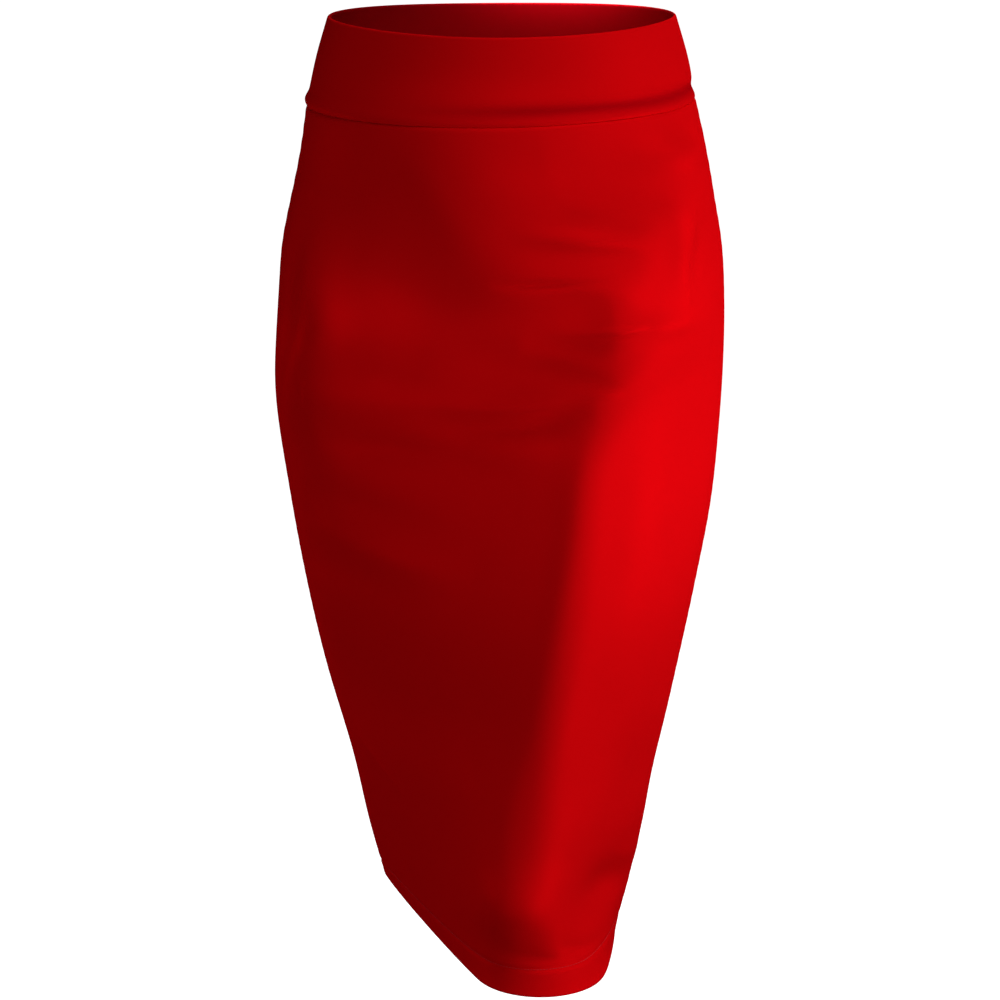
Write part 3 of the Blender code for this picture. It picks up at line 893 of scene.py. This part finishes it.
class MakeHemStitches(bpy.types.Operator):
    """Make the row of stitches above the hem, and the threads that cover its raw edge inside"""
    bl_idname = "skirt.make_hem_stitches"
    bl_label = "Make Hem Stitches"

    def execute(self, context):
        cut, knit = context.scene.skirt_cut, context.scene.skirt_knit
        thread = thread_material("hem thread", knit)
        stitches, cover = [], []
        row = LENGTH - HEM_STITCH_UP
        for half in ("front", "back"):
            girth = read_form(half, np.zeros(1), np.full(1, row))[2][0]
            count = round(girth * MM / cut.stitch)
            half_stitch = (0.5 - STITCH_GAP / 2 / (cut.stitch / MM)) / count
            middles = (np.arange(count) + 0.5) / count
            steps = half_stitch * np.array([-1.0, -STITCH_SHOULDER, STITCH_SHOULDER, 1.0])
            u = (middles[:, None] + steps).ravel()
            down = np.full_like(u, row)
            outer, _, _, _ = panel_faces(cut, half, u, down)
            proud = np.tile([-STITCH_SINK, STITCH_PROUD, STITCH_PROUD, -STITCH_SINK], count)
            stitches.extend(on_form(half, u, down, outer + proud)[0].reshape(count, 4, 3))

            u = np.linspace(THREAD_END_SHARE, 1 - THREAD_END_SHARE, 2 * count)
            for off in (zigzag(-COVER_HALF, COVER_HALF, len(u)), zigzag(COVER_HALF, -COVER_HALF, len(u))):
                down = row + off
                _, inner, _, _ = panel_faces(cut, half, u, down)
                cover.append(on_form(half, u, down, inner - THREAD / 4)[0])
        thread_along("hem_stitches", stitches, thread)
        thread_along("hem_cover_threads", cover, thread)
        return {"FINISHED"}


class MakeStudio(bpy.types.Operator):
    """Make the floor, the lights and the camera"""
    bl_idname = "skirt.make_studio"
    bl_label = "Make Studio"

    def execute(self, context):
        studio = context.scene.skirt_studio
        self.make_floor(-(LENGTH * MM) - studio.floor_drop)
        self.make_world(context.scene, studio.fill)
        for row in SOFTBOXES:
            self.make_softbox(dict(zip(SOFTBOX_COLUMNS, row)), studio.key_power)
        camera = bpy.data.objects.new("camera", bpy.data.cameras.new("camera"))
        context.collection.objects.link(camera)
        camera.data.lens = studio.lens
        camera.data.sensor_width = 36.0
        camera.data.clip_end = 50.0
        aim = Vector(CAMERA_AIM) * MM
        camera.location = aim + studio.distance * away(0.0, studio.elevation)
        camera.rotation_euler = (aim - camera.location).to_track_quat("-Z", "Y").to_euler()
        context.scene.camera = camera
        context.scene.view_settings.view_transform = "Standard"
        return {"FINISHED"}

    def make_floor(self, height):
        mesh = bpy.data.meshes.new("floor")
        disc = bmesh.new()
        bmesh.ops.create_circle(disc, cap_ends=True, segments=96, radius=FLOOR_RADIUS)
        bmesh.ops.translate(disc, verts=disc.verts, vec=(0, 0, height))
        disc.to_mesh(mesh)
        disc.free()
        mesh.materials.append(paper_material())
        floor = bpy.data.objects.new("floor", mesh)
        bpy.context.collection.objects.link(floor)
        # it is lit on its own and throws nothing on the cloth
        floor.visible_diffuse = False
        floor.visible_glossy = False

    def make_world(self, scene, fill):
        """Even fill for the cloth, and plain white where the camera looks past the floor."""
        world = bpy.data.worlds.new("studio")
        scene.world = world
        world.use_nodes = True
        tree = world.node_tree
        background = tree.nodes["Background"]
        background.inputs["Color"].default_value = (1, 1, 1, 1)
        seen = add_node(tree, "ShaderNodeLightPath")
        strength = add_node(tree, "ShaderNodeMapRange", {"Value": seen.outputs["Is Camera Ray"]},
                            {"To Min": fill, "To Max": 1.0})
        tree.links.new(strength.outputs[0], background.inputs["Strength"])

    def make_softbox(self, box, power):
        aim = Vector((box["aim_left"], box["aim_back"], -box["aim_down"])) * MM
        light = bpy.data.lights.new(box["name"], "AREA")
        light.shape = "RECTANGLE"
        light.size = box["width"]
        light.size_y = box["height"]
        light.energy = power * box["watts"]
        softbox = bpy.data.objects.new(box["name"], light)
        bpy.context.collection.objects.link(softbox)
        softbox.location = aim + box["distance"] * away(np.radians(box["azimuth"]), np.radians(box["above"]))
        softbox.rotation_euler = (aim - softbox.location).to_track_quat("-Z", "Y").to_euler()
        softbox.visible_camera = False


def away(azimuth, above):
    """The direction from the skirt outwards. Azimuth turns from the wearer's front to the left."""
    return Vector((np.sin(azimuth) * np.cos(above), -np.cos(azimuth) * np.cos(above), np.sin(above)))


class SkirtPanel(bpy.types.Panel):
    """The skirt's sizes, colours and steps"""
    bl_idname = "SKIRT_PT_make"
    bl_label = "Pencil Skirt"
    bl_space_type = "VIEW_3D"
    bl_region_type = "UI"
    bl_category = "Skirt"

    def draw(self, context):
        for group in ("skirt_cut", "skirt_knit", "skirt_studio"):
            settings = getattr(context.scene, group)
            for name in settings.__annotations__:
                self.layout.prop(settings, name)
        for step in STEPS:
            self.layout.operator(step.bl_idname)


STEPS = (MakePanels, MakeWaistband, MakeAllowances, MakeHemStitches, MakeStudio)
GROUPS = {"skirt_cut": SkirtCut, "skirt_knit": SkirtKnit, "skirt_studio": SkirtStudio}


def register():
    for cls in (*GROUPS.values(), *STEPS, SkirtPanel):
        bpy.utils.register_class(cls)
    for name, cls in GROUPS.items():
        setattr(bpy.types.Scene, name, bpy.props.PointerProperty(type=cls))


def unregister():
    for name in GROUPS:
        delattr(bpy.types.Scene, name)
    for cls in (SkirtPanel, *reversed(STEPS), *GROUPS.values()):
        bpy.utils.unregister_class(cls)


def main():
    register()
    for step in STEPS:
        group, name = step.bl_idname.split(".")
        getattr(getattr(bpy.ops, group), name)()


if __name__ == "__main__":
    main()
